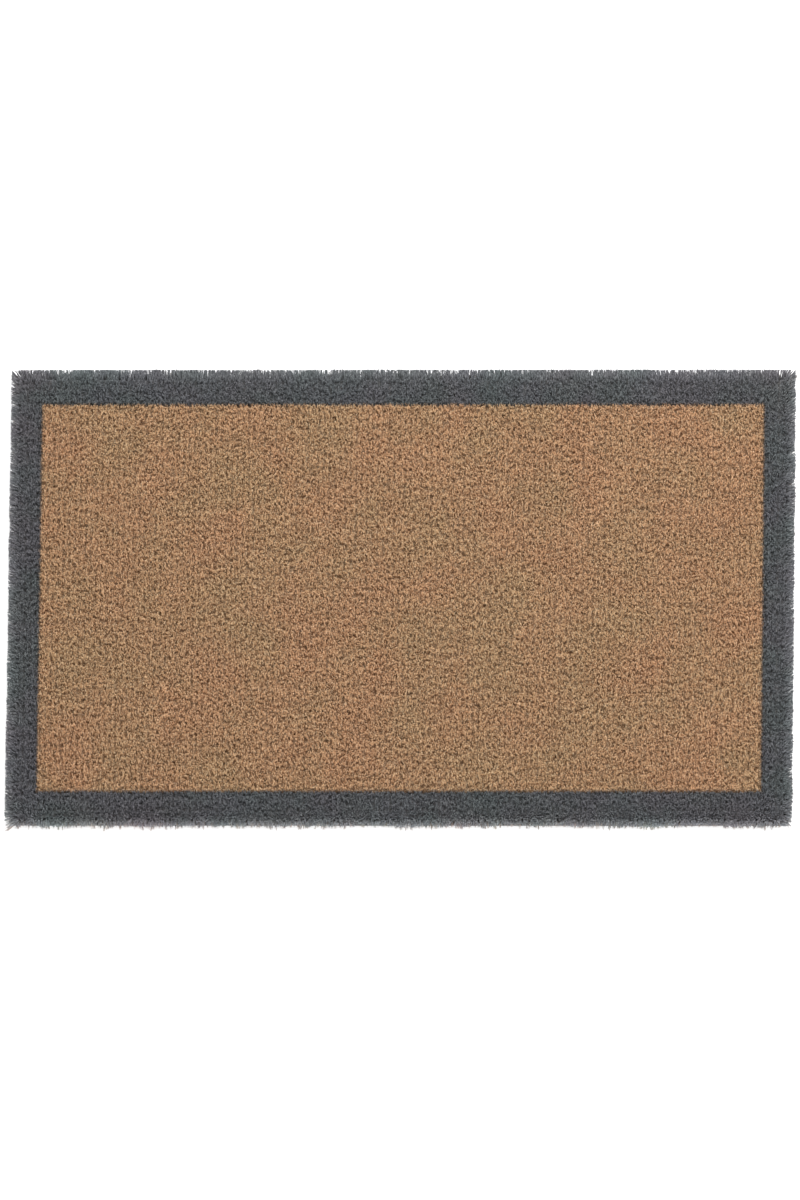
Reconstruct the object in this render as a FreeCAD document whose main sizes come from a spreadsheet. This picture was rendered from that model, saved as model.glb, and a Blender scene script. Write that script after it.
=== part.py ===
import FreeCAD, Part
import Sketcher
import os

# Door mat: a vinyl sheet with rows of cut coir tufts standing in it.
# Millimetres. X runs along the long side, Y from front to rear, Z up.
# The origin is the middle of the underside, where the mat lies on the floor.

Vector = FreeCAD.Vector

# Sizes set by hand, each one on its own.
DRIVING_SIZES = {
    "mat_length": 750.0,          # cut size along X
    "mat_depth": 450.0,           # cut size along Y
    "mat_thickness": 17.0,        # floor to the sheared tips
    "backing_thickness": 2.5,     # vinyl sheet
    "root_depth": 1.3,            # how far the tufts are set into the vinyl
    "root_width": 3.6,            # a row where it is held, measured along Y
    "row_pitch": 5.8,             # from one row of tufts to the next
    "crown_gap": 0.3,             # clearance between neighbouring tips
    "cut_margin": 0.8,            # least bare vinyl left around the pile by the cutter
    "side_border_width": 25.0,    # dyed border at the left and right, from the cut edge
    "end_border_width": 30.0,     # dyed border at the front and rear, from the cut edge
    "rows_per_strip": 2,          # rows handled together in the undyed field
}

# Sizes that follow from them. Each formula names only cells above it.
FOLLOWING_SIZES = {
    "row_length": "mat_length - 2 * cut_margin",
    "row_count": "floor((mat_depth - 2 * cut_margin) / row_pitch)",
    "first_row_y": "-(row_count - 1) * row_pitch / 2",
    "end_border_rows": "round(end_border_width / row_pitch)",
    "field_row_count": "row_count - 2 * end_border_rows",
    "first_field_row_y": "first_row_y + end_border_rows * row_pitch",
    "side_stub_length": "side_border_width - cut_margin",
    "side_stub_centre": "(row_length - side_stub_length) / 2",
    "field_row_length": "row_length - 2 * (side_stub_length + crown_gap)",
    "crown_width": "row_pitch - crown_gap",
    "root_floor": "backing_thickness - root_depth",
}


def fill_sheet(doc):
    """Write the sizes into a spreadsheet, one row of cells for each."""
    sheet = doc.addObject("Spreadsheet::Sheet", "Sizes")
    cells = {name: str(value) for name, value in DRIVING_SIZES.items()}
    cells.update({name: "=" + formula for name, formula in FOLLOWING_SIZES.items()})
    for line, (name, content) in enumerate(cells.items(), start=1):
        sheet.set(f"A{line}", name)
        sheet.set(f"B{line}", content)
        sheet.setAlias(f"B{line}", name)
        doc.recompute()
    return sheet


def origin_feature(body, role):
    """One of the body's own origin planes or axes."""
    return next(item for item in body.Origin.OriginFeatures if item.Role == role)


def new_body(doc, label):
    body = doc.addObject("PartDesign::Body", label)
    body.Label = label
    body.AllowCompound = True
    return body


def new_sketch(body, name, plane):
    sketch = body.newObject("Sketcher::SketchObject", name)
    sketch.AttachmentSupport = [(origin_feature(body, plane), "")]
    sketch.MapMode = "FlatFace"
    return sketch


def add_loop(sketch, corners):
    """Closed loop of straight lines through the corners, joined end to start."""
    count = len(corners)
    for start in range(count):
        line = Part.LineSegment(corners[start], corners[(start + 1) % count])
        sketch.addGeometry(line, False)
    for line in range(count):
        sketch.addConstraint(Sketcher.Constraint("Coincident", line, 2, (line + 1) % count, 1))


def add_size(sketch, kind, places, name, formula):
    """Driving dimension of the sketch, bound to the spreadsheet."""
    index = sketch.addConstraint(Sketcher.Constraint(kind, *places, 1.0))
    sketch.renameConstraint(index, name)
    sketch.setExpression(f"Constraints.{name}", formula)


def sketch_sheet_outline(body):
    """Rectangle of the cut size, centred on the origin."""
    sketch = new_sketch(body, "SheetOutline", "XY_Plane")
    corners = [Vector(-9, -5, 0), Vector(9, -5, 0), Vector(9, 5, 0), Vector(-9, 5, 0)]
    add_loop(sketch, corners)
    for kind, line in (("Horizontal", 0), ("Vertical", 1), ("Horizontal", 2), ("Vertical", 3)):
        sketch.addConstraint(Sketcher.Constraint(kind, line))
    sketch.addConstraint(Sketcher.Constraint("Symmetric", 0, 1, 1, 2, -1, 1))
    add_size(sketch, "DistanceX", (0, 1, 0, 2), "mat_length", "Sizes.mat_length")
    add_size(sketch, "DistanceY", (1, 1, 1, 2), "mat_depth", "Sizes.mat_depth")
    return sketch


def sketch_row_section(body, name):
    """Section of one row of tufts: narrow where it is held, wide at the sheared tips."""
    sketch = new_sketch(body, name, "YZ_Plane")
    corners = [Vector(-1, 1, 0), Vector(1, 1, 0), Vector(2, 9, 0), Vector(-2, 9, 0)]
    add_loop(sketch, corners)
    sketch.addConstraint(Sketcher.Constraint("Symmetric", 0, 1, 0, 2, -2))
    sketch.addConstraint(Sketcher.Constraint("Symmetric", 2, 1, 2, 2, -2))
    add_size(sketch, "DistanceX", (0, 1, 0, 2), "root_width", "Sizes.root_width")
    add_size(sketch, "DistanceX", (2, 2, 2, 1), "crown_width", "Sizes.crown_width")
    add_size(sketch, "DistanceY", (-1, 1, 0, 1), "root_floor", "Sizes.root_floor")
    add_size(sketch, "DistanceY", (-1, 1, 2, 1), "crown_level", "Sizes.mat_thickness")
    return sketch


def repeat_along_y(body, name, feature, count_formula):
    """Copies of a feature, one row pitch apart, towards the rear."""
    pattern = body.newObject("PartDesign::LinearPattern", name)
    pattern.Originals = [feature]
    pattern.Direction = (origin_feature(body, "Y_Axis"), [""])
    pattern.Mode = "Spacing"
    pattern.setExpression("Offset", "Sizes.row_pitch")
    pattern.setExpression("Occurrences", count_formula)
    body.Tip = pattern
    return pattern


def make_backing_sheet(doc):
    """Vinyl sheet with one groove for the roots of each row of tufts."""
    body = new_body(doc, "backing_sheet")
    sheet = body.newObject("PartDesign::Pad", "Sheet")
    sheet.Profile = sketch_sheet_outline(body)
    sheet.setExpression("Length", "Sizes.backing_thickness")
    doc.recompute()

    # The groove is cut with the row's own section, so the two meet face to face.
    section = sketch_row_section(body, "GrooveSection")
    section.setExpression("AttachmentOffset.Base.x", "Sizes.first_row_y")
    groove = body.newObject("PartDesign::Pocket", "RootGroove")
    groove.Profile = section
    groove.Midplane = True
    groove.setExpression("Length", "Sizes.row_length")
    repeat_along_y(body, "RootGrooves", groove, "Sizes.row_count")
    return body


def make_rows(doc, label, length_formula, centre_formula, first_y_formula, count_formula):
    """Rows of tufts side by side, each one a solid of its own."""
    body = new_body(doc, label)
    row = body.newObject("PartDesign::Pad", "Row")
    row.Profile = sketch_row_section(body, "RowSection")
    row.Midplane = True
    row.setExpression("Length", length_formula)
    repeat_along_y(body, "Rows", row, count_formula)
    body.setExpression("Placement.Base.x", centre_formula)
    body.setExpression("Placement.Base.y", first_y_formula)
    return body


def make_end_border(doc, side, index, first_row):
    """One full-width dyed row of the front or rear border, counted from the front."""
    first_y = f"Sizes.first_row_y + ({first_row}) * Sizes.row_pitch"
    label = f"{side}_border_row_{index + 1}"
    return make_rows(doc, label, "Sizes.row_length", "0", first_y, "1")


def make_side_border(doc, side, direction):
    """The dyed ends of all the field rows on one side."""
    centre = f"{direction} * Sizes.side_stub_centre"
    return make_rows(doc, f"{side}_border_rows", "Sizes.side_stub_length", centre,
                     "Sizes.first_field_row_y", "Sizes.field_row_count")


def make_field_strip(doc, index):
    """A few neighbouring undyed rows; the last strip takes the rows that are left."""
    first_y = f"Sizes.first_field_row_y + {index} * Sizes.rows_per_strip * Sizes.row_pitch"
    rows_left = f"Sizes.field_row_count - {index} * Sizes.rows_per_strip"
    return make_rows(doc, f"field_strip_{index + 1:02d}", "Sizes.field_row_length", "0",
                     first_y, f"min(Sizes.rows_per_strip; {rows_left})")


def failed_objects(doc):
    """Names of the objects that did not recompute."""
    return [item.Name for item in doc.Objects if {"Invalid", "Error"} & set(item.State)]


def check_sizes(sheet):
    """Stop if the sizes leave no room for a groove, a row or a field."""
    for name in ("root_floor", "crown_width", "side_stub_length", "field_row_length",
                 "field_row_count", "end_border_rows"):
        if sheet.get(name) <= 0:
            raise ValueError(f"{name} is {sheet.get(name)}")


def check_parts(doc, bodies, sheet):
    """Stop before anything is written if a piece failed or has the wrong volume."""
    failed = failed_objects(doc)
    if failed:
        raise RuntimeError(f"not recomputed: {failed}")
    for body in bodies:
        if body.Shape.isNull() or not body.Shape.isValid():
            raise RuntimeError(f"{body.Label} has no valid shape")

    # A groove that points the wrong way would leave the sheet's volume as it was.
    slope = (sheet.crown_width - sheet.root_width) / (sheet.mat_thickness - sheet.root_floor)
    mouth_width = sheet.root_width + slope * sheet.root_depth
    groove = (sheet.root_width + mouth_width) / 2 * sheet.root_depth * sheet.row_length
    slab = sheet.mat_length * sheet.mat_depth * sheet.backing_thickness
    expected = slab - groove * sheet.row_count
    if abs(bodies[0].Shape.Volume - expected) > expected * 1e-6:
        raise RuntimeError("the grooves are not all cut")


def main():
    doc = FreeCAD.newDocument("DoorMat")
    sheet = fill_sheet(doc)
    check_sizes(sheet)

    bodies = [make_backing_sheet(doc)]
    border_rows = int(sheet.end_border_rows)
    for index in range(border_rows):
        bodies.append(make_end_border(doc, "front", index, str(index)))
    for index in range(border_rows):
        first_row = f"Sizes.row_count - Sizes.end_border_rows + {index}"
        bodies.append(make_end_border(doc, "rear", index, first_row))
    bodies.append(make_side_border(doc, "left", -1))
    bodies.append(make_side_border(doc, "right", 1))
    strip_count = -(-int(sheet.field_row_count) // int(sheet.rows_per_strip))
    for index in range(strip_count):
        bodies.append(make_field_strip(doc, index))

    doc.recompute()
    check_parts(doc, bodies, sheet)
    os.makedirs("parts", exist_ok=True)
    for body in bodies:
        body.Shape.exportStep(os.path.join("parts", body.Label + ".step"))
    print(f"{len(bodies)} nodes, {int(sheet.row_count)} rows of tufts")


main()
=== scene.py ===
import math
import bpy
import numpy as np
from mathutils import Matrix, Vector


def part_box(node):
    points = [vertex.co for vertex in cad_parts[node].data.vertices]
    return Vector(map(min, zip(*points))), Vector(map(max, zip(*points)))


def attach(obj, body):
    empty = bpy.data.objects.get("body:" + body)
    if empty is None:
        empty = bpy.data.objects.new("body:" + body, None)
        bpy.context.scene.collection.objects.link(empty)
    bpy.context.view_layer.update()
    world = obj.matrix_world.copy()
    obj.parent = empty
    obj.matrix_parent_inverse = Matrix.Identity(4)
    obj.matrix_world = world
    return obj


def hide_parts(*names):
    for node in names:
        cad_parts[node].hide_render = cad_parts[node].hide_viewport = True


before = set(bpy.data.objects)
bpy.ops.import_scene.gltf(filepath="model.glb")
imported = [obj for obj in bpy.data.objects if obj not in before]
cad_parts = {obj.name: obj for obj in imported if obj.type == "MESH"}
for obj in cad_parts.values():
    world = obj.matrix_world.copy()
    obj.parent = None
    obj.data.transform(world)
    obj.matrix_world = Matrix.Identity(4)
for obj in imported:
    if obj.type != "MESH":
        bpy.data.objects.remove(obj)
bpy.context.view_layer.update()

# Door mat: coir tufts sheared level in a vinyl sheet, with a dyed border printed on the pile.
# Metres. X runs along the long side, Y from front to rear, Z up; the origin is under the middle.

mm = 0.001
scene = bpy.context.scene


# The lowest and highest corner of one CAD node.
def boxOf(node):
    low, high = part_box(node)
    return np.array(low), np.array(high)


# sizes and places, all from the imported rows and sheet
sheetHigh = boxOf("backing_sheet")[1]
rowOneLow, rowOneHigh = boxOf("front_border_row_1")
rowTwoLow, rowTwoHigh = boxOf("front_border_row_2")
rearLow = boxOf("rear_border_row_1")[0]
stubHigh = boxOf("left_border_rows")[1]
rowPitch = (rowTwoLow[1] + rowTwoHigh[1] - rowOneLow[1] - rowOneHigh[1]) / 2
crownGap = rowPitch - (rowOneHigh[1] - rowOneLow[1])
pileTop = rowOneHigh[2]
sheetTop = sheetHigh[2]
pileHeight = pileTop - sheetTop
firstRowY = (rowOneLow[1] + rowOneHigh[1]) / 2
pileHalf = np.array([rowOneHigh[0], rowPitch / 2 - firstRowY])    # half the pile's width and depth
fieldHalfX = -stubHigh[0] - crownGap / 2                          # half the undyed rectangle's
fieldHalfY = rearLow[1] - crownGap / 2
print("frame read: row pitch", round(rowPitch / mm, 3), "mm")


# A few short ways to add nodes to one material.
class Graph:
    def __init__(self, name):
        self.material = bpy.data.materials.new(name)
        self.material.use_nodes = True
        self.tree = self.material.node_tree
        self.shader = self.tree.nodes["Principled BSDF"]

    # a new node: links go to sockets by name or number, settings to the node's own properties
    def add(self, kind, links=None, **settings):
        node = self.tree.nodes.new(kind)
        for key, value in settings.items():
            setattr(node, key, value)
        for place, source in (links or {}).items():
            self.put(source, node.inputs[place])
        return node

    # links one socket to another, or sets a plain value on it
    def put(self, source, socket):
        if isinstance(source, bpy.types.NodeSocket):
            self.tree.links.new(source, socket)
        else:
            socket.default_value = source

    # a number that the mesh keeps for each of its points
    def attribute(self, name):
        return self.add("ShaderNodeAttribute", attribute_name=name).outputs["Fac"]

    # one step of arithmetic on two numbers
    def math(self, kind, first, second=0.0):
        return self.add("ShaderNodeMath", {0: first, 1: second}, operation=kind).outputs[0]

    # colours at given places along the factor, straight from one to the next
    def ramp(self, factor, stops):
        node = self.add("ShaderNodeValToRGB", {0: factor})
        elements = node.color_ramp.elements
        while len(elements) < len(stops):
            elements.new(0.5)
        for element, (place, colour) in zip(elements, stops):
            element.position = place
            element.color = (*colour, 1.0)
        return node.outputs[0]

    # from first towards second by the factor, or first times second
    def mix(self, factor, first, second, kind="MIX"):
        node = self.add("ShaderNodeMix", data_type="RGBA", blend_type=kind)
        self.put(factor, node.inputs[0])
        self.put(first, node.inputs[6])
        self.put(second, node.inputs[7])
        return node.outputs[2]

    # the colour times a grey of this level
    def shade(self, colour, level):
        grey = self.add("ShaderNodeCombineColor", {0: level, 1: level, 2: level}).outputs[0]
        return self.mix(1.0, colour, grey, "MULTIPLY")

    # smooth noise about a half, with this many finer layers
    def noise(self, coordinate, scale, detail=2.0, roughness=0.5):
        links = {"Vector": coordinate, "Scale": scale, "Detail": detail, "Roughness": roughness}
        return self.add("ShaderNodeTexNoise", links).outputs["Fac"]

    # the coordinate times a scale on each axis
    def stretch(self, coordinate, scale):
        return self.add("ShaderNodeMapping", {"Vector": coordinate, "Scale": scale}).outputs[0]

    # low to high becomes toLow to toHigh, and nothing goes past either end
    def range(self, value, low, high, toLow=0.0, toHigh=1.0):
        links = {"Value": value, "From Min": low, "From Max": high, "To Min": toLow,
                 "To Max": toHigh}
        return self.add("ShaderNodeMapRange", links).outputs[0]


coirLook = {
    "naturalDark": (0.305, 0.154, 0.068),
    "naturalMid": (0.622, 0.379, 0.204),
    "naturalLight": (0.860, 0.640, 0.418),
    "dyedDark": (0.061, 0.064, 0.069),
    "dyedMid": (0.135, 0.142, 0.153),
    "dyedLight": (0.276, 0.284, 0.295),
    "edgeBlur": 1.10 * mm,        # how softly the dye ends
    "edgeCreep": 1.8 * mm,        # how far it wanders along the printed line
    "creepScale": 260.0,          # scales are in patterns to the metre
    "lineWidth": 3.2 * mm,        # the dye gathers and darkens outside the line
    "lineInside": 0.8 * mm,       # and lets the field go dark this far inside it
    "lineShade": 0.66,
    "lowDye": 0.80,               # share of dye that reaches the bottom of the pile
    "fullDye": 0.60,              # share of the pile's height where the dye is full
    "fullPaintedRootShade": 0.25,        # share of the height that takes the painted root shade in full
    "grain": 0.30,                # blotches inside one fibre
    "grainScale": 1600.0,
    "grainStretch": (1.0, 1.0, 0.25),
    "ribScale": 5200.0,           # fine ribs along a fibre
    "ribStretch": (1.0, 1.0, 0.15),
    "ribStrength": 0.35,
    "ribDepth": 0.05 * mm,
    "packedSize": 0.72 * mm,      # fibres that show as one surface, low in the pile
    "packedStretch": (1.0, 1.0, 0.12),
    "packedTone": 0.90,
    "packedEdge": (0.25, 0.65),   # from full level to the painted gap shade, in sizes from a cell's middle
    "packedGapShade": 0.30,            # painted shade between two of them
    "packedRelief": 8.0,          # height of a cell, to that of a rib
    "packedLevel": 1.30,          # overall level, against 1 for single fibres
    "warmPatch": (1.032, 0.986, 0.978),
    "coolPatch": (0.970, 1.014, 1.000),
    "patchScale": 15.0,
    "dyedPatches": [(1.034, 0.981, 1.016), (0.964, 1.012, 0.980)],    # violet, then green
    "dyedPatchScale": 26.0,
    "patchEdges": (0.36, 0.64),   # noise from which a patch has its full tint
    "streak": 0.035,              # level streaks left by the shears, lighter and darker
    "streakScale": (11.0, 150.0, 1.0),
    "streakEdges": (0.35, 0.65),
    "roughness": (0.55, 0.85),
    "roughEdges": (0.3, 0.7),     # grain that gives the least and the most roughness
    "gloss": 0.35,
    "sheen": 0.15,
    "sheenRoughness": 0.5,
}


# Coconut fibre. Tone runs from dark to light fibres. Dye covers all that lies outside the
# printed rectangle, moved a little for each fibre, and thins out low in the pile. Towards the
# root the colour is scaled by the fibre's own painted shade, which on the open front edge is
# painted light. Packed fibres share one surface: upright cells stand for them, each with a tone
# of its own, with painted shade where two cells meet.
def coirMaterial(name, packed):
    g = Graph(name)
    look = coirLook
    place = g.add("ShaderNodeTexCoord").outputs["Object"]
    axis = g.add("ShaderNodeSeparateXYZ", {0: place}).outputs
    grain = g.noise(g.stretch(place, look["grainStretch"]), look["grainScale"], detail=3.0,
                    roughness=0.6)
    tone = g.attribute("fibreTone")
    # painted shade in the gaps between packed cells, none for single fibres
    paintedGapShade = 1.0
    if packed:
        links = {"Vector": g.stretch(place, look["packedStretch"]), "Scale": 1 / look["packedSize"]}
        cells = g.add("ShaderNodeTexVoronoi", links).outputs
        own = g.add("ShaderNodeSeparateColor", {0: cells["Color"]}).outputs[0]
        own = g.math("MULTIPLY", g.math("SUBTRACT", own, 0.5), look["packedTone"])
        tone = g.math("ADD", tone, own)
        # painted shade where two cells meet, also used as the cells' relief
        paintedGapShade = g.range(cells["Distance"], *look["packedEdge"], 1.0, look["packedGapShade"])
    blotch = g.math("MULTIPLY", g.math("SUBTRACT", grain, 0.5), look["grain"])
    tone = g.math("ADD", tone, blotch)
    tone = g.math("MINIMUM", g.math("MAXIMUM", tone, 0.0), 1.0)

    # distance outside the printed rectangle, below zero inside it
    alongX = g.math("SUBTRACT", g.math("ABSOLUTE", axis[0]), float(fieldHalfX))
    alongY = g.math("SUBTRACT", g.math("ABSOLUTE", axis[1]), float(fieldHalfY))
    outside = g.math("MAXIMUM", alongX, alongY)
    wander = g.math("SUBTRACT", g.noise(place, look["creepScale"]), 0.5)
    creep = g.math("ADD", g.math("MULTIPLY", wander, look["edgeCreep"]), g.attribute("dyeShift"))
    dye = g.range(g.math("ADD", outside, creep), -look["edgeBlur"], look["edgeBlur"])

    # undyed and dyed colour by tone, mixed by how much dye has soaked in at this height
    natural = g.ramp(tone, [(0.0, look["naturalDark"]), (0.5, look["naturalMid"]),
                            (1.0, look["naturalLight"])])
    dyed = g.ramp(tone, [(0.0, look["dyedDark"]), (0.5, look["dyedMid"]),
                         (1.0, look["dyedLight"])])
    depth = g.range(axis[2], float(sheetTop), float(pileTop))
    soaked = g.math("MULTIPLY", dye, g.range(depth, 0.0, look["fullDye"], look["lowDye"], 1.0))
    tints = g.ramp(g.noise(place, look["dyedPatchScale"]),
                   list(zip(look["patchEdges"], look["dyedPatches"])))
    colour = g.mix(soaked, natural, g.mix(1.0, dyed, tints, "MULTIPLY"))

    # darkest on the line: back to full level slowly outside it and fast inside it
    nearLine = g.math("MAXIMUM",
                      g.range(outside, 0.0, look["lineWidth"], look["lineShade"], 1.0),
                      g.range(outside, -look["lineInside"], 0.0, 1.0, look["lineShade"]))
    # painted shade towards the root of sheltered fibres, painted light on the open edge's flank
    paintedRootLevel = g.range(depth, look["fullPaintedRootShade"], 1.0, g.attribute("paintedRootShadeAndLight"), 1.0)
    lit = g.math("MULTIPLY", g.math("MULTIPLY", paintedRootLevel, nearLine), paintedGapShade)
    colour = g.shade(colour, g.math("MULTIPLY", lit, look["packedLevel"] if packed else 1.0))

    # slow patches of hue, then level streaks
    patches = g.ramp(g.noise(place, look["patchScale"], detail=3.0, roughness=0.55),
                     list(zip(look["patchEdges"], [look["warmPatch"], look["coolPatch"]])))
    colour = g.mix(1.0, colour, patches, "MULTIPLY")
    passes = g.noise(g.stretch(place, look["streakScale"]), 1.0, detail=3.0, roughness=0.6)
    level = g.range(passes, *look["streakEdges"], 1 - look["streak"], 1 + look["streak"])
    colour = g.shade(colour, level)

    height = g.noise(g.stretch(place, look["ribStretch"]), look["ribScale"], detail=2.0,
                     roughness=0.6)
    if packed:
        height = g.math("ADD", height, g.math("MULTIPLY", paintedGapShade, look["packedRelief"]))
    bump = g.add("ShaderNodeBump", {"Strength": look["ribStrength"], "Distance": look["ribDepth"],
                                    "Height": height})
    g.put(colour, g.shader.inputs["Base Color"])
    g.put(g.range(grain, *look["roughEdges"], *look["roughness"]), g.shader.inputs["Roughness"])
    g.put(bump.outputs[0], g.shader.inputs["Normal"])
    g.shader.inputs["Specular IOR Level"].default_value = look["gloss"]
    g.shader.inputs["Sheen Weight"].default_value = look["sheen"]
    g.shader.inputs["Sheen Roughness"].default_value = look["sheenRoughness"]
    return g.material


vinylLook = {
    "dark": (0.020, 0.020, 0.021),
    "middle": (0.034, 0.034, 0.036),
    "scuffed": (0.062, 0.061, 0.060),
    "scuffPlaces": (0.30, 0.62, 0.80),    # scuffing that gives each of these colours
    "scuffScale": 16.0,
    "scuffStretch": (1.0, 2.2, 1.0),
    "clothScale": 170.0,          # the release cloth's threads, pressed into the skin
    "clothBend": 0.4,
    "speckScale": 2400.0,
    "speckHeight": 0.5,           # against a thread's height of 1
    "bumpStrength": 0.6,
    "bumpDepth": 0.12 * mm,
    "threadWear": 0.2,            # threads wear rougher than the hollows between them
    "wearEdges": (0.3, 0.9),      # wear that gives the least and the most roughness
    "roughness": (0.42, 0.72),
    "gloss": 0.45,
}


# Flexible vinyl: two crossed waves make the cloth's imprint, and slow noise scuffs it paler.
def vinylMaterial():
    g = Graph("backingVinyl")
    look = vinylLook
    place = g.add("ShaderNodeTexCoord").outputs["Object"]
    links = {"Vector": place, "Scale": look["clothScale"], "Distortion": look["clothBend"]}
    warp = g.add("ShaderNodeTexWave", links, bands_direction="X").outputs["Fac"]
    weft = g.add("ShaderNodeTexWave", links, bands_direction="Y").outputs["Fac"]
    cloth = g.math("MULTIPLY", warp, weft)
    speck = g.noise(place, look["speckScale"], detail=3.0, roughness=0.6)
    scuff = g.noise(g.stretch(place, look["scuffStretch"]), look["scuffScale"], detail=5.0,
                    roughness=0.65)
    height = g.math("ADD", cloth, g.math("MULTIPLY", speck, look["speckHeight"]))
    bump = g.add("ShaderNodeBump", {"Strength": look["bumpStrength"], "Distance": look["bumpDepth"],
                                    "Height": height})
    colours = [look["dark"], look["middle"], look["scuffed"]]
    wear = g.math("ADD", scuff, g.math("MULTIPLY", cloth, look["threadWear"]))
    g.put(g.ramp(scuff, list(zip(look["scuffPlaces"], colours))), g.shader.inputs["Base Color"])
    g.put(g.range(wear, *look["wearEdges"], *look["roughness"]), g.shader.inputs["Roughness"])
    g.put(bump.outputs[0], g.shader.inputs["Normal"])
    g.shader.inputs["Specular IOR Level"].default_value = look["gloss"]
    return g.material


coir = coirMaterial("coirFibre", packed=False)
coirCore = coirMaterial("coirCore", packed=True)
vinyl = vinylMaterial()
print("materials made")


# One mesh from whole arrays: corner points, then four- and three-sided faces.
def meshFromFaces(name, points, quads, triangles, uv=None):
    mesh = bpy.data.meshes.new(name)
    loops = np.concatenate([quads.ravel(), triangles.ravel()]).astype(np.int32)
    starts = np.concatenate([np.arange(len(quads)) * 4,
                             len(quads) * 4 + np.arange(len(triangles)) * 3]).astype(np.int32)
    mesh.vertices.add(len(points))
    mesh.vertices.foreach_set("co", points.astype(np.float32).ravel())
    mesh.loops.add(len(loops))
    mesh.loops.foreach_set("vertex_index", loops)
    mesh.polygons.add(len(starts))
    mesh.polygons.foreach_set("loop_start", starts)
    if uv is not None:
        mesh.uv_layers.new(name="OFBake")
        mesh.uv_layers["OFBake"].data.foreach_set("uv", uv.astype(np.float32).ravel())
    mesh.update(calc_edges=True)
    mesh.validate()
    piece = bpy.data.objects.new(name, mesh)
    scene.collection.objects.link(piece)
    return piece


# One number for each fibre, repeated for all the points of that fibre.
def addAttributes(piece, perFibre, repeat):
    for name, values in perFibre.items():
        attribute = piece.data.attributes.new(name, "FLOAT", "POINT")
        attribute.data.foreach_set("value", np.repeat(values, repeat).astype(np.float32))


# Material, body and the CAD nodes that the piece stands for.
def finishPiece(piece, material, nodes):
    piece.data.materials.append(material)
    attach(piece, "root")
    if nodes:
        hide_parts(*nodes)
    return piece


# Corners of a level triangle round each point, turned by that fibre's angle: tips are sheared flat.
def triangleRing(turn):
    angle = turn[:, None] + np.arange(3) * (2 * np.pi / 3)
    return np.stack([np.cos(angle), np.sin(angle), np.zeros_like(angle)], axis=-1)


fibre = {
    "rodTaper": 0.86,             # a rod's radius at its tip, as a share of that at its root
    "uvInset": 0.1,               # of a fibre's square, left empty on each side
    "tipUv": [[0.1, 1.0], [0.9, 1.0], [0.5, 0.85]],     # the end faces' corners in that square
    "rootUv": [[0.1, 0.0], [0.9, 0.0], [0.5, 0.15]],
}


# Every fibre has its own square of the UV map, shrunk a little inside it, length upwards.
def packUv(uv, count):
    perRow = math.ceil(math.sqrt(count))
    cell = np.stack([np.arange(count) % perRow, np.arange(count) // perRow], axis=-1)
    inset = fibre["uvInset"]
    return (cell[:, None, None, :] + inset + (1 - 2 * inset) * uv) / perRow


# Fibre whose lower part is buried: a triangle at the tip and one point at the bottom.
def spikeMesh(name, fibres):
    path, count = fibres["path"], len(fibres["path"])
    ring = path[:, None, 1, :] + fibres["radius"][:, None, None] * triangleRing(fibres["turn"])
    points = np.concatenate([path[:, :1, :], ring], axis=1)
    faces = np.array([[2, 1, 0], [3, 2, 0], [1, 3, 0], [1, 2, 3]])
    triangles = np.arange(count)[:, None, None] * 4 + faces
    side = np.arange(3)[:, None]
    across = np.concatenate([side + 1, side, side + 0.5], axis=1) / 3
    sides = np.stack([across, np.broadcast_to([1.0, 1.0, 0.0], (3, 3))], axis=-1)
    uv = packUv(np.concatenate([sides, [fibre["tipUv"]]])[None], count)
    piece = meshFromFaces(name, points.reshape(-1, 3), np.zeros((0, 4), int),
                          triangles.reshape(-1, 3), uv.reshape(-1, 2))
    piece.data.polygons.foreach_set("use_smooth", np.tile([True, True, True, False], count))
    addAttributes(piece, fibres["attributes"], 4)
    return piece


# Fibre that shows along its whole length: a three-sided rod through every point of its path,
# tapering evenly, with a face at each end.
def rodMesh(name, fibres):
    path, count, rings = fibres["path"], *fibres["path"].shape[:2]
    radius = fibres["radius"][:, None] * np.linspace(1.0, fibre["rodTaper"], rings)
    ring = triangleRing(fibres["turn"])
    points = path[:, :, None, :] + radius[:, :, None, None] * ring[:, None, :, :]

    level = np.arange(rings - 1)[:, None] * 3
    side = np.arange(3)[None, :]
    after = (side + 1) % 3
    quads = np.stack([level + side, level + after, level + 3 + after, level + 3 + side], axis=-1)
    firstPoint = np.arange(count)[:, None, None] * rings * 3
    quads = firstPoint + quads.reshape(-1, 4)
    top = (rings - 1) * 3
    caps = firstPoint + np.array([[top, top + 1, top + 2], [2, 1, 0]])

    left, right = side / 3 + 0 * level, (side + 1) / 3 + 0 * level
    low, high = level / 3 / (rings - 1) + 0 * side, (level / 3 + 1) / (rings - 1) + 0 * side
    sides = np.stack([np.stack([left, low], -1), np.stack([right, low], -1),
                      np.stack([right, high], -1), np.stack([left, high], -1)], axis=2)
    ends = np.array([[fibre["tipUv"], fibre["rootUv"]]])
    uv = np.concatenate([packUv(sides.reshape(1, -1, 4, 2), count).reshape(-1, 2),
                         packUv(ends, count).reshape(-1, 2)])
    piece = meshFromFaces(name, points.reshape(-1, 3), quads.reshape(-1, 4),
                          caps.reshape(-1, 3), uv)
    smooth = np.arange(count * (rings * 3 - 1)) < count * (rings - 1) * 3
    piece.data.polygons.foreach_set("use_smooth", smooth)
    addAttributes(piece, fibres["attributes"], rings * 3)
    return piece


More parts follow.
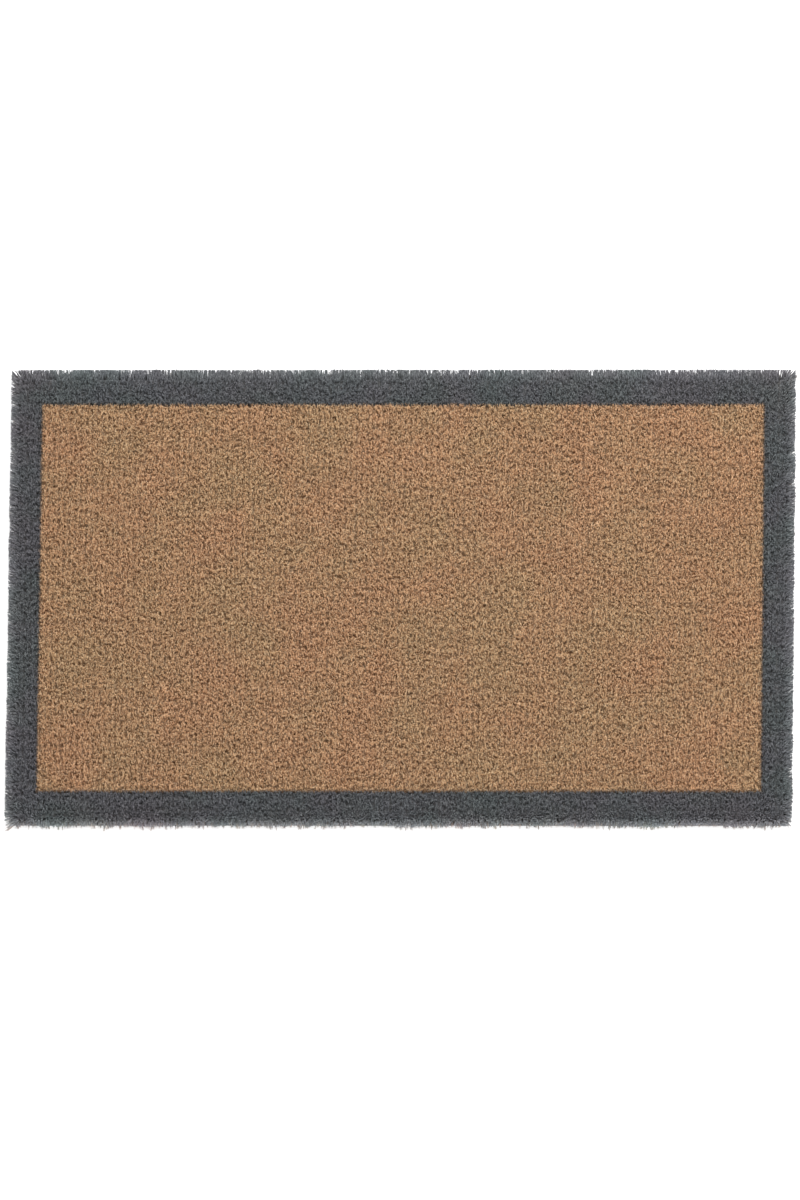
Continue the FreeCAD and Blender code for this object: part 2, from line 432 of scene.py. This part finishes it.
pile = {
    "seed": 4107,
    "gauge": 5.25 * mm,                  # tuft to tuft along a row
    "jitter": (0.34 * mm, 0.68 * mm),    # how far a tuft stands off its place, in x and y
    "tuftLean": (0.036, 0.055),          # leans are sideways per height, in x and y
    "rowLean": 0.006,
    "rowLeanReach": 17,                  # reaches are counted in tufts
    "rearLean": 0.050,                   # the shears comb the pile a little to the rear
    "toneTuft": 0.020,
    "toneRow": 0.008,
    "toneRowReach": 25,
    "edgeReach": 11.0 * mm,              # width of the ring that leans outwards
    "edgePower": 1.2,                    # how late in that ring the lean sets in
    "edgeLean": 0.82,
    "edgeOut": 6.0 * mm,                 # how far the tips may stand out from the last roots
    "edgeLimits": (0.6, 1.3),            # least and most of that for any ply
    "edgeWave": 0.40 * mm,               # tuft by tuft
    "edgeSwell": 0.9 * mm,               # over several tufts, in full at the front
    "swellReach": 4,
    "swellLimits": (-1.6, 1.0),
    "edgeRagged": 0.8 * mm,              # ply by ply, in full at the front
    "openSide": 0.30,                    # share of the front's ragged look that the sides have
    "openRear": 0.08,
    "openLeast": 0.3,                    # share of wave and spread that needs no open edge
    "softFrom": 0.92,                    # share of the way out from which tips are drawn in
    "softOpen": 0.22,                    # and how much sooner at the front
    "spiralTurn": 2.4,                   # radians from one ply to the next
    "spiralJitter": 0.25,
    "fieldPieces": 9,                    # the undyed field is cut into this many
}

innerTufts = {
    "strands": 11,                       # plies of yarn that show in one tuft
    "fibres": 3,                         # in one ply
    "radius": (0.24 * mm, 0.39 * mm),
    "tuftRadius": (1.75 * mm, 2.20 * mm),    # strands about the tuft's middle
    "strandRadius": (0.20 * mm, 0.38 * mm),  # fibres about the strand's middle
    "splay": 0.45,                       # tips spread this much further than the roots
    "strandLean": (0.045, 0.115),        # in x and y
    "fibreLean": (0.030, 0.045),
    "tipDrop": 0.35 * mm,                # mean shortfall below the shears
    "tipWander": 0.15 * mm,
    "strandDrop": 0.40 * mm,             # some plies are shorn a little shorter
    "toneStrand": 0.21,
    "toneFibre": 0.16,
    "toneNoise": 0.08,
    "dyeShift": 0.60 * mm,
    "openPaintedLight": 0.0,                     # painted light: tone gained where the edge is open
    "paintedRootShadeAndLight": (0.50, 0.50),           # painted shade at the root, sheltered and in the open
    "edgeDrop": 0.0,                     # fibres at the cut edge end up to this much lower
    "dropPower": 1.2,                    # more of them end high than low
    "spread": 0.0,                       # some lean out this much less
    "bottom": 3.0 * mm,                  # the buried end's height
    "rings": 2,
}

outerTufts = dict(innerTufts)
outerTufts.update({
    "strands": 30,
    "fibres": 2,
    "radius": (0.27 * mm, 0.42 * mm),
    "tuftRadius": (2.80 * mm, 2.80 * mm),
    "splay": 0.60,
    "strandLean": (0.090, 0.090),
    "tipDrop": 0.30 * mm,
    "strandDrop": 0.25 * mm,
    "toneStrand": 0.22,
    # painted light: the open edge's fibres are paler all along
    "openPaintedLight": 0.17,
    "paintedRootShadeAndLight": (0.95, 2.25),           # painted light down the open side, brightest at the front
    "spread": 0.65,
    "edgeDrop": 9.0 * mm,
    "bottom": float(sheetTop),
    "rings": 3,
})


# Running mean along the last axis, brought back to unit spread.
def smoothAlong(values, reach):
    kernel = np.hanning(reach + 2)[1:-1]
    out = np.apply_along_axis(lambda v: np.convolve(v, kernel, mode="same"), -1, values)
    return out / out.std()


# Even steps from -1 to 1 in a random order along the last axis, so that neighbours differ.
def shuffledSteps(shape):
    steps = np.linspace(-1, 1, shape[-1])
    return steps[rng.random(shape).argsort(axis=-1)]


rng = np.random.default_rng(pile["seed"])
rowCount = int(round(-2 * firstRowY / rowPitch)) + 1
colCount = int(round(2 * pileHalf[0] / pile["gauge"]))
colPitch = 2 * pileHalf[0] / colCount
rowIndex, colIndex = np.meshgrid(np.arange(rowCount), np.arange(colCount), indexing="ij")
tuftGrid = np.stack([(colIndex + 0.5) * colPitch - pileHalf[0],
                     firstRowY + rowIndex * rowPitch], -1)
tuftPlace = tuftGrid + rng.normal(0, 1, tuftGrid.shape) * pile["jitter"]
tuftLean = rng.normal(0, 1, tuftGrid.shape) * pile["tuftLean"]
rowLean = smoothAlong(rng.normal(size=rowIndex.shape), pile["rowLeanReach"]) * pile["rowLean"]
tuftLean[..., 1] += rowLean + pile["rearLean"]
tuftTone = rng.normal(0, pile["toneTuft"], rowIndex.shape)
tuftTone += smoothAlong(rng.normal(size=rowIndex.shape), pile["toneRowReach"]) * pile["toneRow"]
isEnd = (rowIndex == 0) | (rowIndex == rowCount - 1)
isOuter = isEnd | (colIndex == 0) | (colIndex == colCount - 1)

# the front edge hangs loosest and the rear edge, away from the shears, stays most compact
openEdge = np.full(rowIndex.shape, pile["openSide"])
openEdge[0] = 1.0
openEdge[-1] = pile["openRear"]
swell = np.where(isEnd, smoothAlong(rng.normal(size=rowIndex.shape), pile["swellReach"]),
                 smoothAlong(rng.normal(size=rowIndex.T.shape), pile["swellReach"]).T)
waveShare = pile["openLeast"] + (1 - pile["openLeast"]) * openEdge
tuftOut = pile["edgeOut"] + rng.normal(0, pile["edgeWave"], rowIndex.shape) * waveShare
tuftOut += np.clip(swell, *pile["swellLimits"]) * openEdge * pile["edgeSwell"]


# A fibre climbs from its root, leaning steadily. Near the cut edge it also bends outwards with
# the square of the way along it, and half the square of that outward lean comes off its height.
def fibrePath(root, lean, outward, tipZ, bottom, rings):
    height = bottom + (tipZ[:, None] - bottom) * np.linspace(0, 1, rings)
    climbed = height - sheetTop
    bend = pileHeight * (climbed / (tipZ[:, None] - sheetTop)) ** 2
    flat = (root[:, None, :] + climbed[..., None] * lean[:, None, :]
            + bend[..., None] * outward[:, None, :])
    z = height - 0.5 * (outward ** 2).sum(axis=-1)[:, None] * np.maximum(climbed, 0)
    return np.concatenate([flat, z[..., None]], axis=-1)


# A fibre's painted root shade and light goes evenly from the sheltered value to the open one.
def paintedRootShadeAndLightOf(look, opened):
    sheltered, inTheOpen = look["paintedRootShadeAndLight"]
    return sheltered + opened * (inTheOpen - sheltered)


# All fibres of the chosen tufts, as arrays of tuft, strand and fibre: strands stand on a
# sunflower spiral about the tuft's middle, and fibres scatter about their strand. Tips past
# the last roots are drawn in smoothly to each strand's own limit. The more open the edge, the
# more those limits differ, the more the outward leans differ, and the lower some tips end.
def growTufts(look, chosen):
    tufts, strands, fibres = int(chosen.sum()), look["strands"], look["fibres"]
    opened = openEdge[chosen][:, None, None]
    one = (tufts, strands, 1, 2)
    each = (tufts, strands, fibres, 2)
    step = np.arange(strands)
    around = (rng.uniform(0, 2 * np.pi, (tufts, 1)) + step * pile["spiralTurn"]
              + rng.normal(0, pile["spiralJitter"], (tufts, strands)))
    outTo = np.sqrt((step + 0.5) / strands)[:, None] * look["tuftRadius"]
    offset = (np.stack([np.cos(around), np.sin(around)], -1) * outTo)[:, :, None, :]
    offset = offset + rng.normal(0, 1, each) * look["strandRadius"]
    root = tuftPlace[chosen][:, None, None, :] + offset
    lean = (tuftLean[chosen][:, None, None, :] + rng.normal(0, 1, one) * look["strandLean"]
            + rng.normal(0, 1, each) * look["fibreLean"] + offset * look["splay"] / pileHeight)

    # outward lean inside the ring along the cut edge, less for some fibres than for others
    inRing = np.clip(1 - (pileHalf - np.abs(root)) / pile["edgeReach"], 0, 1)
    nearEdge = inRing ** pile["edgePower"]
    spread = look["spread"] * (pile["openLeast"] + (1 - pile["openLeast"]) * opened)
    less = spread[..., None] * rng.random((*each[:3], 1))
    outward = nearEdge * np.sign(root) * pile["edgeLean"] * (1 - less)

    # tips beyond the last roots are drawn in smoothly, so that the mat's outline is even
    beyond = np.abs(root + (lean + outward) * pileHeight) - pileHalf
    limit = tuftOut[chosen][:, None, None] + rng.normal(0, pile["edgeRagged"], one[:3]) * opened
    limit = np.clip(limit, *(share * pile["edgeOut"] for share in pile["edgeLimits"]))[..., None]
    soft = (pile["softFrom"] - pile["softOpen"] * opened)[..., None] * limit
    drawn = soft + (limit - soft) * np.tanh((beyond - soft) / (limit - soft))
    outward += (np.where(beyond > soft, drawn, beyond) - beyond) * np.sign(root) / pileHeight

    tipZ = (pileTop + rng.normal(0, look["tipWander"], each[:3])
            - rng.exponential(look["tipDrop"], each[:3])
            - rng.exponential(look["strandDrop"], one[:3])
            - nearEdge.max(axis=-1) ** 2 * rng.random(each[:3]) ** look["dropPower"]
            * look["edgeDrop"] * opened)
    # painted light: fibres on an open edge gain tone
    tone = (0.5 + tuftTone[chosen][:, None, None] + look["openPaintedLight"] * opened
            + shuffledSteps((tufts, strands))[:, :, None] * look["toneStrand"]
            + shuffledSteps(each[:3]) * look["toneFibre"]
            + rng.normal(0, look["toneNoise"], each[:3]))
    shift = rng.normal(0, look["dyeShift"], each[:3])
    path = fibrePath(root.reshape(-1, 2), lean.reshape(-1, 2), outward.reshape(-1, 2),
                     tipZ.ravel(), look["bottom"], look["rings"])
    perTuft = strands * fibres
    return {
        "path": path,
        "radius": rng.uniform(*look["radius"], len(path)),
        "turn": rng.uniform(0, 2 * np.pi, len(path)),
        "attributes": {"fibreTone": np.clip(tone, 0, 1).ravel(), "dyeShift": shift.ravel(),
                       "paintedRootShadeAndLight": np.repeat(paintedRootShadeAndLightOf(look, openEdge[chosen]), perTuft)},
        "row": np.repeat(rowIndex[chosen], perTuft),
        "x": np.repeat(tuftGrid[chosen][:, 0], perTuft),
    }


whiskers = {
    "bunches": 4,                 # at the foot of each outer tuft
    "fibres": 4,                  # in one bunch
    "radius": (0.24 * mm, 0.38 * mm),
    "inset": 2.2 * mm,            # root to the pile's edge, at most
    "reach": (0.60, 1.14),        # share of the way to the outline
    "rise": (0.0, 6.5 * mm),      # tip above the sheet
    "scatter": 0.35 * mm,         # of every measure, fibre by fibre
    "fan": 0.9 * mm,              # tips to each side
    "sag": 1.6 * mm,
    "rings": 3,
    "tone": (0.72, 0.22),         # mean and spread; the high mean is partly painted light on the fringe
    "paintedRootShadeAndLight": (1.00, 2.15),    # painted shade and light at the root, sheltered and in the open
    "least": 0.5 * mm,            # kept above the floor
}


# Loose side fibres at the cut edge, in bunches: each runs outwards from the foot of an outer
# tuft to about the outline, over the edge of the vinyl, rising evenly, with a sag or hump that
# follows share times (1 - share) of the run.
def growWhiskers(look):
    tufts = int(isOuter.sum())
    bunch = (tufts, look["bunches"], 1)
    each = (tufts, look["bunches"], look["fibres"])
    side = np.stack([(colIndex == colCount - 1) * 1.0 - (colIndex == 0),
                     (rowIndex == rowCount - 1) * 1.0 - (rowIndex == 0)], -1)[isOuter]
    along = np.stack([-side[:, 1], side[:, 0]], -1)[:, None, None, :]
    side = side[:, None, None, :]
    pitch = np.array([colPitch, rowPitch])
    foot = tuftGrid[isOuter][:, None, None, :] + side * pitch / 2
    foot = foot + along * pitch * rng.uniform(-0.5, 0.5, (*bunch, 1))
    foot = foot - side * rng.uniform(0, look["inset"], (*each, 1))
    foot += rng.normal(0, look["scatter"], (*each, 2))
    out = tuftOut[isOuter][:, None, None] * rng.uniform(*look["reach"], bunch)
    out = out + rng.normal(0, look["scatter"], each)
    aside = rng.normal(0, look["fan"], bunch) + rng.normal(0, look["scatter"], each)
    rise = rng.uniform(*look["rise"], bunch) + rng.normal(0, look["scatter"], each)
    share = np.linspace(0, 1, look["rings"])
    run = side * out[..., None] + along * aside[..., None]
    flat = foot[..., None, :] + run[..., None, :] * share[:, None]
    sag = rng.uniform(0, look["sag"], each)[..., None] * 4 * share * (1 - share)
    z = np.maximum(sheetTop + rise[..., None] * share + sag, look["least"])
    path = np.concatenate([flat, z[..., None]], axis=-1).reshape(-1, look["rings"], 3)
    perTuft = look["bunches"] * look["fibres"]
    return {
        "path": path,
        "radius": rng.uniform(*look["radius"], len(path)),
        "turn": rng.uniform(0, 2 * np.pi, len(path)),
        "attributes": {"fibreTone": np.clip(rng.normal(*look["tone"], len(path)), 0, 1),
                       "dyeShift": np.zeros(len(path)),
                       "paintedRootShadeAndLight": np.repeat(paintedRootShadeAndLightOf(look, openEdge[isOuter]), perTuft)},
        "row": np.repeat(rowIndex[isOuter], perTuft),
        "x": np.repeat(tuftGrid[isOuter][:, 0], perTuft),
    }


# The same arrays for only some of the fibres.
def pick(fibres, which):
    chosen = {key: fibres[key][which] for key in ("path", "radius", "turn")}
    chosen["attributes"] = {key: values[which] for key, values in fibres["attributes"].items()}
    return chosen


# The parts' meshes in one object, under a new name.
def joinPieces(name, parts):
    if len(parts) > 1:
        with bpy.context.temp_override(active_object=parts[0], selected_editable_objects=parts):
            bpy.ops.object.join()
    parts[0].name = name
    parts[0].data.name = name
    return parts[0]


growths = [(spikeMesh, growTufts(innerTufts, ~isOuter)),
           (rodMesh, growTufts(outerTufts, isOuter)),
           (rodMesh, growWhiskers(whiskers))]
print("fibres grown:", sum(len(fibres["path"]) for _, fibres in growths))


# One piece of pile: the fibres of every kind whose tuft passes the test on its row and x.
def pilePiece(name, test, nodes):
    parts = []
    for make, fibres in growths:
        which = test(fibres["row"], fibres["x"])
        if which.any():
            parts.append(make(f"{name}_{len(parts)}", pick(fibres, which)))
    return finishPiece(joinPieces(name, parts), coir, nodes)


# True for rows from first up to, and not counting, after.
def rowsIn(row, first, after):
    return (row >= first) & (row < after)


nodeNames = sorted(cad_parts)
frontNodes = [node for node in nodeNames if node.startswith("front_border_row")]
rearNodes = [node for node in nodeNames if node.startswith("rear_border_row")]
strips = [node for node in nodeNames if node.startswith("field_strip")]
frontEnd = len(frontNodes)
rearStart = rowCount - len(rearNodes)
lastRow = rowCount - 1
piecesOnSheet = [
    pilePiece("front_edge_row", lambda row, x: row == 0, frontNodes[:1]),
    pilePiece("front_border_pile", lambda row, x: rowsIn(row, 1, frontEnd),
              frontNodes[1:]),
    pilePiece("rear_edge_row", lambda row, x: row == lastRow, rearNodes[-1:]),
    pilePiece("rear_border_pile", lambda row, x: rowsIn(row, rearStart, lastRow),
              rearNodes[:-1]),
    pilePiece("left_border_pile",
              lambda row, x: rowsIn(row, frontEnd, rearStart) & (x < -fieldHalfX),
              ["left_border_rows"]),
    pilePiece("right_border_pile",
              lambda row, x: rowsIn(row, frontEnd, rearStart) & (x > fieldHalfX),
              ["right_border_rows"]),
]

# the field in pieces of a few strips, each with the rows between its first and last strip's sides
for number, group in enumerate(np.array_split(strips, pile["fieldPieces"]), start=1):
    low = int(round((boxOf(group[0])[0][1] + rowPitch / 2 - firstRowY) / rowPitch))
    high = int(round((boxOf(group[-1])[1][1] - rowPitch / 2 - firstRowY) / rowPitch))
    piecesOnSheet.append(pilePiece(
        f"field_pile_{number}",
        lambda row, x: rowsIn(row, low, high + 1) & (np.abs(x) < fieldHalfX),
        list(group)))
print("pile made")


# Closed slab: a grid of heights over x and y on one side, and on the other a flat fan of
# triangles from the rim to a middle point, with a wall of four-sided faces between.
def reliefSlab(name, x, y, relief, flatLevel):
    gridX, gridY = np.meshgrid(x, y, indexing="ij")
    across, along = gridX.shape
    index = np.arange(across * along).reshape(across, along)
    rim = np.concatenate([index[:, 0], index[-1, 1:], index[-2::-1, -1], index[0, -2:0:-1]])
    surface = np.stack([gridX, gridY, relief], axis=-1).reshape(-1, 3)
    skirt = surface[rim] * (1, 1, 0) + (0, 0, flatLevel)
    points = np.concatenate([surface, skirt, [[0, 0, flatLevel]]])
    low = np.arange(len(rim)) + len(surface)
    after, lowAfter = np.roll(rim, -1), np.roll(low, -1)
    centre = np.full(len(rim), len(points) - 1)
    grid = np.stack([index[:-1, :-1], index[1:, :-1], index[1:, 1:], index[:-1, 1:]], -1)
    wall = np.stack([low, lowAfter, after, rim], -1)
    quads = np.concatenate([grid.reshape(-1, 4), wall])
    triangles = np.stack([centre, lowAfter, low], -1)
    if flatLevel > relief.mean():        # the relief faces down, so every face is turned round
        quads, triangles = quads[:, ::-1], triangles[:, ::-1]
    return meshFromFaces(name, points, quads, triangles)


core = {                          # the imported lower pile, which closes the gaps
    "valley": 8.8 * mm,           # where four tufts meet
    "crest": 12.6 * mm,           # over a tuft's middle
    "rough": 0.40 * mm,
    "tone": (0.25, 0.60),         # least and most
}


# Mounds over the tufts: one cosine along the rows and one across them, added, brought to run
# from 0 to 1 and then from valley to crest, with random roughness on top.
def makeCore():
    # one point over each tuft and one between each two, so that mounds and valleys line up
    x = (np.arange(1, 2 * colCount) / 2) * colPitch - pileHalf[0]
    y = firstRowY + np.arange(2 * rowCount - 1) / 2 * rowPitch
    gridX, gridY = np.meshgrid(x, y, indexing="ij")
    mound = (np.cos((gridX + pileHalf[0]) / colPitch * 2 * np.pi + np.pi)
             + np.cos((gridY - firstRowY) / rowPitch * 2 * np.pi)) / 4 + 0.5
    relief = core["valley"] + (core["crest"] - core["valley"]) * mound
    relief += rng.normal(0, core["rough"], relief.shape)
    coreBed = reliefSlab("pile_core", x, y, relief, float(sheetTop))
    tone = rng.uniform(*core["tone"], len(coreBed.data.vertices))
    # painted shade low in the pile, the same as the sheltered tufts have
    shade = np.full(len(tone), innerTufts["paintedRootShadeAndLight"][0])
    addAttributes(coreBed, {"fibreTone": tone, "dyeShift": 0 * tone, "paintedRootShadeAndLight": shade}, 1)
    return finishPiece(coreBed, coirCore, [])


piecesOnSheet.append(makeCore())
print("lower pile made")


backing = {
    "stepX": 12.0 * mm,
    "stepY": 1.45 * mm,           # four to a row, so that the ripple is round
    "sink": 0.12 * mm,            # hollows left where each row was pressed in
    "flatRim": 4.0 * mm,
}


# The sheet's underside ripples with one cosine to a row, fading out towards its rim. Its top is
# flat, and hidden by the pile.
def makeBacking():
    halfX, halfY = float(sheetHigh[0]), float(sheetHigh[1])
    x = np.linspace(-halfX, halfX, int(2 * halfX / backing["stepX"]) + 1)
    y = np.linspace(-halfY, halfY, int(2 * halfY / backing["stepY"]) + 1)
    gridX, gridY = np.meshgrid(x, y, indexing="ij")
    ripple = 0.5 + 0.5 * np.cos((gridY - firstRowY) / rowPitch * 2 * np.pi)
    toRim = np.minimum(halfX - np.abs(gridX), halfY - np.abs(gridY))
    relief = ripple * backing["sink"] * np.clip(toRim / backing["flatRim"], 0, 1)
    vinylSheet = reliefSlab("vinyl_backing", x, y, relief, float(sheetTop))
    finishPiece(vinylSheet, vinyl, ["backing_sheet"])


makeBacking()
print("backing made")


studio = {
    "floorHalf": 60.0,
    "floorDrop": 0.1 * mm,        # clear of the sheet's own face
    "floorColour": (0.93, 0.93, 0.93),
    "floorRoughness": 0.9,
    "floorGloss": 0.1,
    "worldColour": (1.0, 1.0, 1.0),
    "floorGlow": 0.45,            # the floor is a lit table
    "worldStrength": 0.68,
    "lamps": {                    # place, size across, power
        "overheadLamp": ((0.7, 1.6, 2.9), 3.4, 121.0),
        "frontLamp": ((0.4, -3.2, 1.6), 2.0, 50.0),
    },
}

camera = {
    "azimuth": 8.6,               # degrees, from the front towards +X
    "elevation": 73.9,
    "lens": 900.0,                # mm, as is the sensor
    "sensor": 36.0,
    "farEnd": 200.0,
    "heightSeen": 1.1605,         # metres along the long side of the view
    "aim": (-0.0010, -0.0012, 0.010),
}


# One flat face that also glows a little.
def makeFloor():
    half = studio["floorHalf"]
    level = -studio["floorDrop"]
    corners = np.array([[-half, -half, level], [half, -half, level], [half, half, level],
                        [-half, half, level]])
    floor = meshFromFaces("floor", corners, np.array([[0, 1, 2, 3]]), np.zeros((0, 3), int))
    g = Graph("paleFloor")
    g.shader.inputs["Base Color"].default_value = (*studio["floorColour"], 1.0)
    g.shader.inputs["Roughness"].default_value = studio["floorRoughness"]
    g.shader.inputs["Specular IOR Level"].default_value = studio["floorGloss"]
    g.shader.inputs["Emission Color"].default_value = (*studio["floorColour"], 1.0)
    g.shader.inputs["Emission Strength"].default_value = studio["floorGlow"]
    floor.data.materials.append(g.material)


# An even white world, and round lamps that point at the origin.
def makeLight():
    world = bpy.data.worlds.new("studioAir")
    world.use_nodes = True
    sky = world.node_tree.nodes["Background"]
    sky.inputs["Color"].default_value = (*studio["worldColour"], 1.0)
    sky.inputs["Strength"].default_value = studio["worldStrength"]
    scene.world = world
    for name, (place, size, power) in studio["lamps"].items():
        lamp = bpy.data.lights.new(name, "AREA")
        lamp.shape = "DISK"
        lamp.size = size
        lamp.energy = power
        holder = bpy.data.objects.new(name, lamp)
        aim = Vector(place).to_track_quat("Z", "Y").to_matrix().to_4x4()
        holder.matrix_world = Matrix.Translation(Vector(place)) @ aim
        scene.collection.objects.link(holder)


# The camera looks back along its own third axis. Its up axis is square to the mat's long side,
# so that the long edges lie level in the view.
def makeCamera():
    turn, rise = math.radians(camera["azimuth"]), math.radians(camera["elevation"])
    back = Vector((math.sin(turn) * math.cos(rise), -math.cos(turn) * math.cos(rise),
                   math.sin(rise)))
    up = back.cross(Vector((1, 0, 0))).normalized()
    right = up.cross(back)
    lens = bpy.data.cameras.new("camera")
    lens.lens = camera["lens"]
    lens.sensor_width = camera["sensor"]
    lens.clip_end = camera["farEnd"]
    distance = camera["heightSeen"] * lens.lens / lens.sensor_width
    holder = bpy.data.objects.new("camera", lens)
    turnMatrix = Matrix((right, up, back)).transposed().to_4x4()
    holder.matrix_world = Matrix.Translation(Vector(camera["aim"]) + back * distance) @ turnMatrix
    scene.collection.objects.link(holder)
    scene.camera = holder


makeFloor()
makeLight()
makeCamera()
scene.view_settings.view_transform = "Standard"
print("studio made")
